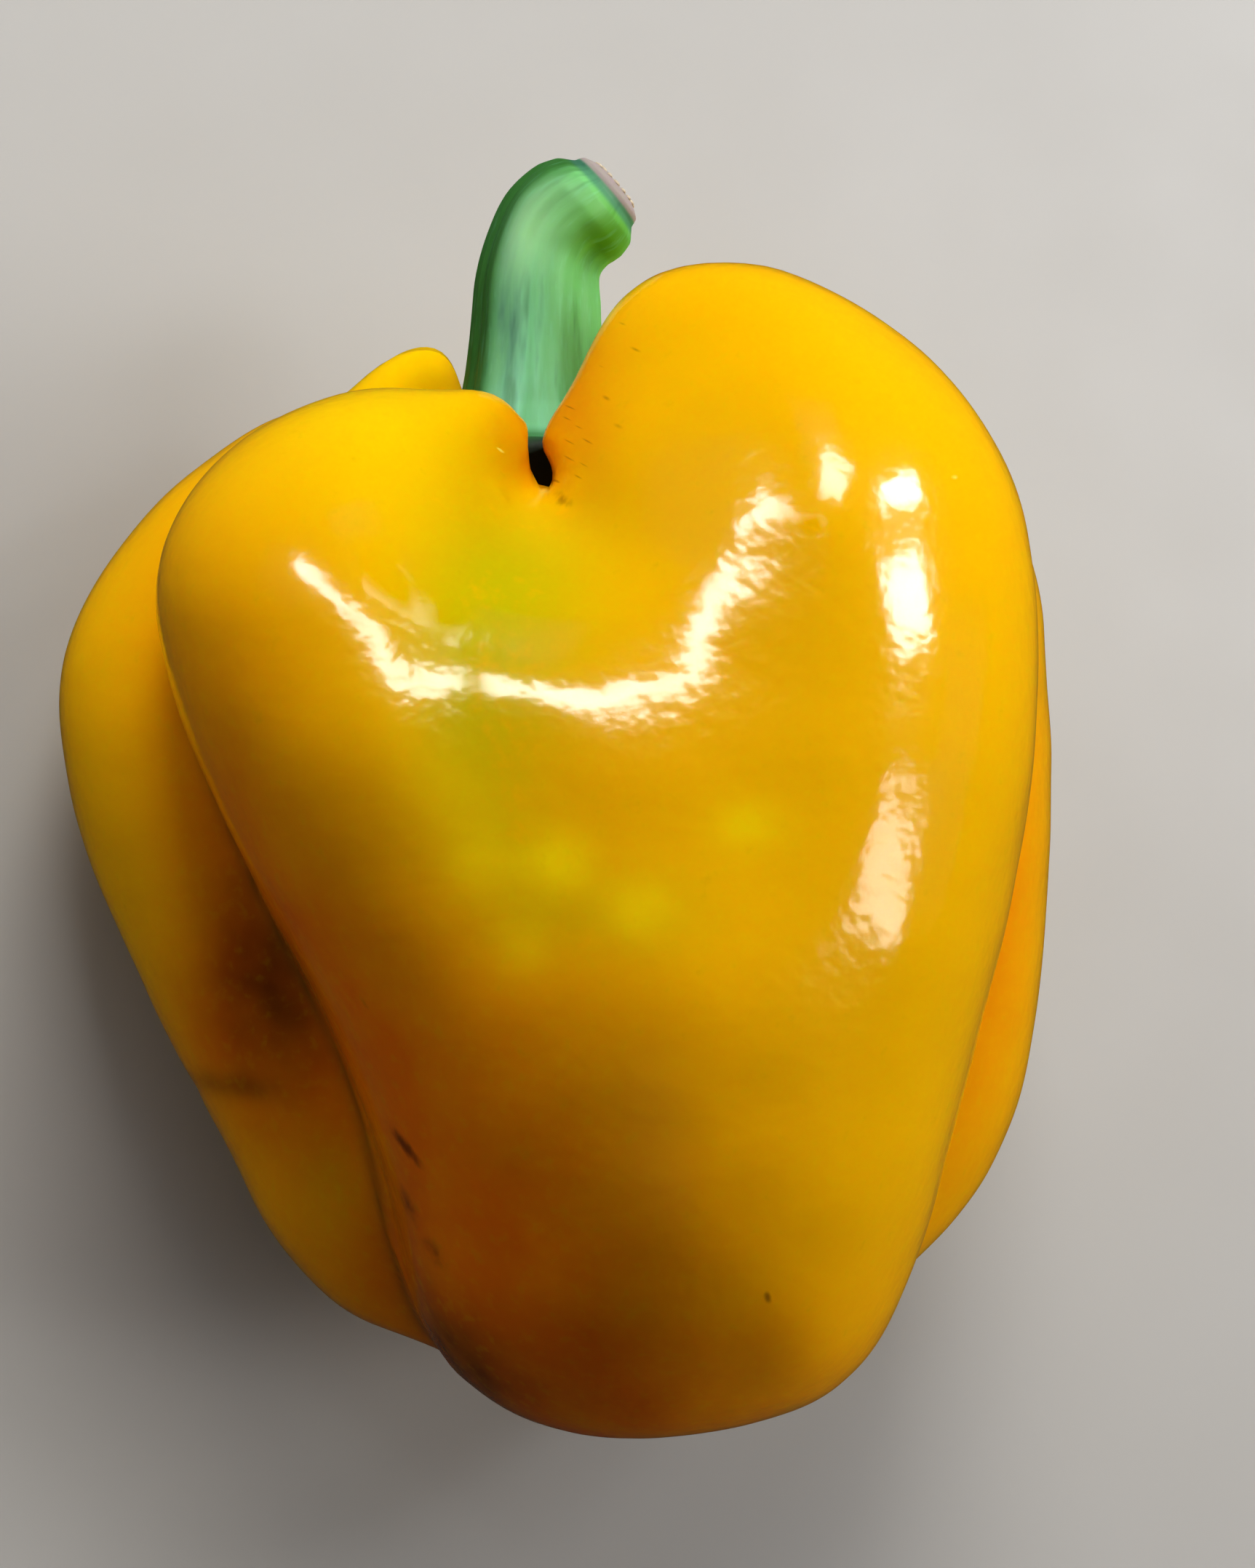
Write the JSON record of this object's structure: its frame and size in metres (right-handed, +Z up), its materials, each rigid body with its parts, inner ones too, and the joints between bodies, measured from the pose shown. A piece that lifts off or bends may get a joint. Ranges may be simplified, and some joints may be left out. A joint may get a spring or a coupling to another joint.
{
  "type": "bell pepper",
  "caption": "Blocky lobed yellow bell pepper lying on its side as picked, with a ridged green stem set in a bowl between its shoulders.",
  "frame": {"origin": "on the surface that the pepper lies on, under the middle of its outline seen from above", "axes": "+Z up from the surface, +Y level along the pepper from its blossom end to its stem, +X to the right seen from above with the stem at the top"},
  "size_m": [0.0813, 0.1018, 0.0688],
  "materials": {
    "pepper_skin": "glossy waxy skin",
    "stem_green": "soft satin, slightly waxy"
  },
  "bodies": {
    "root": {"fruit_body": "pepper_skin", "stem_and_calyx": "stem_green"}
  },
  "joints": []
}
